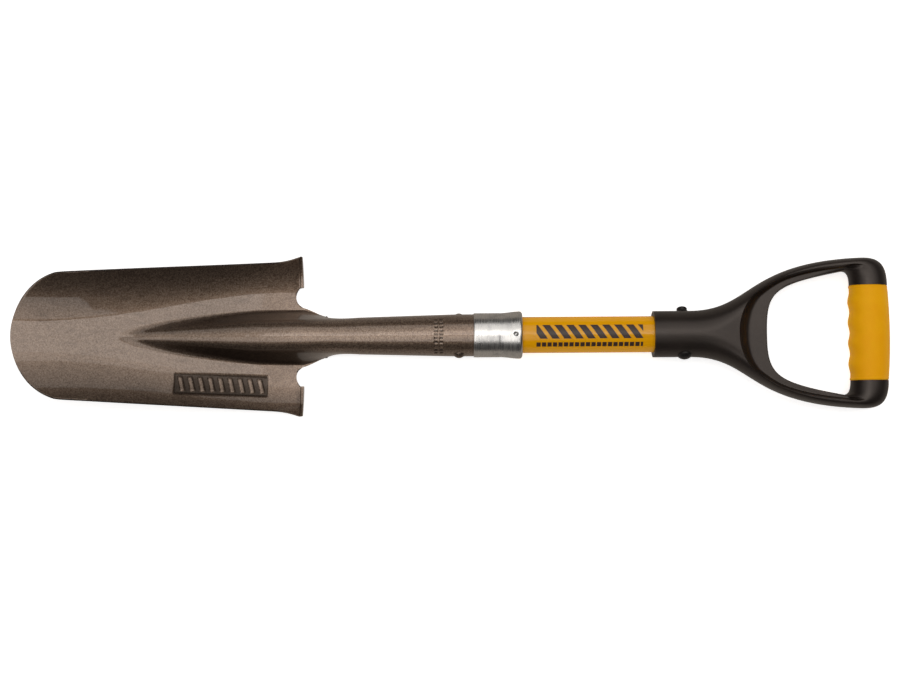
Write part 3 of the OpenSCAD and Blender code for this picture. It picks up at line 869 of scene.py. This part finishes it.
def build_handle():
    outer, inner, corner = handle_rings()
    span = np.linalg.norm(inner - outer, axis=-1)
    rim_share = corner_kept(rim_shares(outer, inner), corner)
    out_q = 1 - np.cos(np.linspace(0, math.pi / 2, 32))
    in_q = (1 - np.cos(np.linspace(0, math.pi, 34)))[1:] / 2
    q = np.concatenate([rim_share[:, None] * out_q[None, :],
                        rim_share[:, None] + (1 - rim_share[:, None]) * in_q[None, :]], axis=1)
    plan = outer[:, None, :] + (inner - outer)[:, None, :] * q[..., None]
    height = body_height(plan)
    mouth = plan[..., 0] < MOUTH_X + 1e-6
    height = np.where(mouth, np.sqrt(np.maximum(0, HANDLE_R**2 - plan[..., 1] ** 2)), height)
    # The recess: a concave wall from the rim down to a low flat lip at the opening
    at_rim = height[:, len(out_q) - 1][:, None]
    down = clamp01((1 - q) / (1 - rim_share[:, None]))
    lip = 5.6
    sunk = lip + (at_rim - lip) * clamp01((down - 0.6) / 0.4) ** 1.7
    height = np.where(down < 1, np.minimum(height, sunk), height)
    d_edge = (1 - q) * span[:, None]
    height = height * np.sqrt(1 - (1 - clamp01(d_edge / 1.1)) ** 2)
    bar = ARM_T * np.sqrt(np.maximum(0, 1 - (2 * q - 1) ** 2))
    height = mix(height, bar, ease((corner + 0.16) / 0.6)[:, None])
    rings = [np.concatenate([
        np.stack([plan[s, :, 0], plan[s, :, 1], height[s]], axis=-1),
        np.stack([plan[s, ::-1, 0], plan[s, ::-1, 1], -height[s, ::-1]], axis=-1)])
        for s in range(len(outer))]
    # Past the corner the moulding steps down to the bar inside the grip
    loop = np.concatenate([q[-1], q[-1][::-1]])
    sign = np.concatenate([np.ones(len(q[-1])), -np.ones(len(q[-1]))])
    for y in (GRIP_HALF - 0.05, 0.0):
        ring_x = BAR_X + BAR_R * (1 - 2 * loop)
        ring_z = sign * BAR_R * np.sqrt(np.maximum(0, 1 - (2 * loop - 1) ** 2))
        rings.append(np.stack([ring_x, np.full(len(loop), y), ring_z], axis=-1))
    rings = np.array(rings)
    rows, cols = rings.shape[:2]
    points, faces = [], []
    for side in (1, -1):
        base = sum(len(block) for block in points)
        points.append((rings * np.array([1, side, 1])).reshape(-1, 3))
        faces += grid_faces(rows, cols, wrap=True, base=base)
        # The flat mouth: the first rings' outer ends, top joined to bottom
        for s in range(MOUTH_RINGS):
            a = base + s * cols
            b = base + (s + 1) * cols
            faces.append((a, a + cols - 1, b + cols - 1, b))
    handle = make_object("d_handle_moulding", np.concatenate(points), faces, BLACK)
    bore_r = SHAFT_R + 0.15
    bore_start = MOUTH_X - 3
    bore_end = SHAFT_HIGH.x + 0.5
    bore = lathe("bore_cutter", [(bore_start, 0.01), (bore_start, bore_r),
                                 (bore_end, bore_r), (bore_end, 0.01)], BLACK, 96)
    cut_away(handle, bore)
    place(handle, "d_handle")


# ---------- grip ----------

GROOVE_PITCH = 16.4
GROOVE_DEPTH = 1.4
GROOVED_FRONT_X = 311.9
SMOOTH_FRONT_X = 311.2


def build_grip():
    rows, cols = 200, 128
    y = np.linspace(-GRIP_HALF, GRIP_HALF, rows)
    angle = np.linspace(0, 2 * math.pi, cols, endpoint=False)
    front = GROOVED_FRONT_X - GROOVE_DEPTH * (0.5 - 0.5 * np.cos(2 * math.pi * y / GROOVE_PITCH))
    smooth_front = np.full_like(y, SMOOTH_FRONT_X)
    back = BACK_X - y**2 / BACK_R2
    grooved = clamp01(-np.cos(angle)) ** 1.6
    front_x = mix(smooth_front[:, None], front[:, None], grooved[None, :])
    middle = (front_x + back[:, None]) / 2
    half = (back[:, None] - front_x) / 2
    end_round = 1 - 0.045 * (1 - ease((GRIP_HALF - np.abs(y)) / 0.9))
    line = 1 - 0.012 * np.exp(-(((np.abs(y) - GRIP_HALF + 2.6) / 0.35) ** 2))
    scale = (end_round * line)[:, None]
    outer = np.stack([middle + half * np.cos(angle) * scale,
                      np.repeat(y[:, None], cols, axis=1),
                      ARM_T * np.sin(angle)[None, :] * scale], axis=-1)
    inner = np.stack([BAR_X + BAR_R * np.cos(angle) * np.ones((2, 1)),
                      np.array([[GRIP_HALF], [-GRIP_HALF]]) * np.ones((1, cols)),
                      BAR_R * np.sin(angle) * np.ones((2, 1))], axis=-1)
    rings = np.concatenate([outer, inner])
    faces = ring_faces(len(rings), cols)
    grip = make_object("soft_grip_sleeve", rings.reshape(-1, 3), faces, GRIP, 50)
    place(grip, "grip")


build_head()
build_ferrule()
build_shaft()
build_handle()
build_grip()

for node, material, slot_name in (
    ("socket_core", WOOD, "wood_core"),
    ("handle_core", WOOD, "wood_core"),
    ("socket_rivet", RIVET_BROWN, "rivet_bronze"),
    ("handle_rivet", RIVET_BLACK, "rivet_black"),
    ("rivet_washer", RIVET_BLACK, "rivet_black"),
):
    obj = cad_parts[node]
    obj.data.materials.clear()
    obj.data.materials.append(material)


# ---------- stage: floor, light and camera ----------

def build_floor():
    """A pale floor; glossy surfaces mirror a second, dimmer one in the same place."""
    for name, level, warmth, glow, mirrored in (("floor", 0.88, 0.0, 0.7, False),
                                                ("floor_dim", 0.42, 0.22, 0.02, True)):
        p = Paint(name)
        tone = (level, level * (1 - warmth / 2), level * (1 - warmth), 1)
        p.set(Base_Color=p.blend(p.noise(3.0, 2), tone, tuple(min(1, 1.03 * c) for c in tone)),
              Roughness=0.9, Specular_IOR_Level=0.1, Emission_Color=(1, 1, 1, 1),
              Emission_Strength=glow)
        size = 40.0
        mesh = bpy.data.meshes.new(name)
        mesh.from_pydata([(-size, -size, 0), (size, -size, 0), (size, size, 0), (-size, size, 0)],
                         [], [(0, 1, 2, 3)])
        mesh.materials.append(p.material)
        floor = bpy.data.objects.new(name, mesh)
        floor.visible_camera = not mirrored
        floor.visible_diffuse = not mirrored
        floor.visible_shadow = not mirrored
        floor.visible_glossy = mirrored
        bpy.context.scene.collection.objects.link(floor)


SOFTBOX_Z = 1.62


def add_softbox(name, x_span, y_span, radiance):
    """A warm white rectangle overhead that faces down, unseen by the camera."""
    size_x = x_span[1] - x_span[0]
    size_y = y_span[1] - y_span[0]
    light = bpy.data.lights.new(name, "AREA")
    light.shape = "RECTANGLE"
    light.size = size_x
    light.size_y = size_y
    light.energy = radiance * math.pi * size_x * size_y
    light.color = (1.0, 0.975, 0.95)
    obj = bpy.data.objects.new(name, light)
    obj.location = (sum(x_span) / 2, sum(y_span) / 2, SOFTBOX_Z)
    obj.visible_camera = False
    bpy.context.scene.collection.objects.link(obj)


def build_light():
    """Softboxes over the bench with a narrow gap between two of them, and a dim room."""
    add_softbox("softbox_key", (-0.35, 0.42), (-0.04, 0.24), 3.4)
    add_softbox("softbox_mid", (-0.35, 0.42), (0.24, 0.65), 2.4)
    add_softbox("softbox_far", (0.42, 1.3), (-0.04, 0.65), 1.9)
    add_softbox("softbox_back", (-0.75, 1.3), (0.65, 2.8), 1.1)
    add_softbox("softbox_front", (-1.2, 0.18), (-1.2, -0.12), 1.8)
    add_softbox("fill_tip", (-2.0, -0.35), (-0.04, 0.65), 0.9)
    add_softbox("fill_grip", (1.3, 2.5), (-0.04, 1.9), 0.7)
    world = bpy.data.worlds.new("studio")
    world.use_nodes = True
    background = world.node_tree.nodes["Background"]
    background.inputs["Color"].default_value = (1, 1, 1, 1)
    background.inputs["Strength"].default_value = 0.05
    bpy.context.scene.world = world
    bpy.context.scene.view_settings.view_transform = "Standard"


def build_camera():
    """Almost straight above, a few degrees towards the lower side of the shovel."""
    distance = 1.3
    lean = math.radians(2.87)
    mm_per_pixel = 0.7899
    image_width = 900
    camera = bpy.data.cameras.new("camera")
    camera.sensor_width = 36.0
    camera.lens = camera.sensor_width * distance / (image_width * mm_per_pixel * MM)
    obj = bpy.data.objects.new("camera", camera)
    obj.location = (-0.0045, -0.0016 - distance * math.sin(lean),
                    AXIS_Z + distance * math.cos(lean))
    obj.rotation_euler = (lean, 0, math.radians(-0.36))
    bpy.context.scene.collection.objects.link(obj)
    bpy.context.scene.camera = obj


build_floor()
build_light()
build_camera()
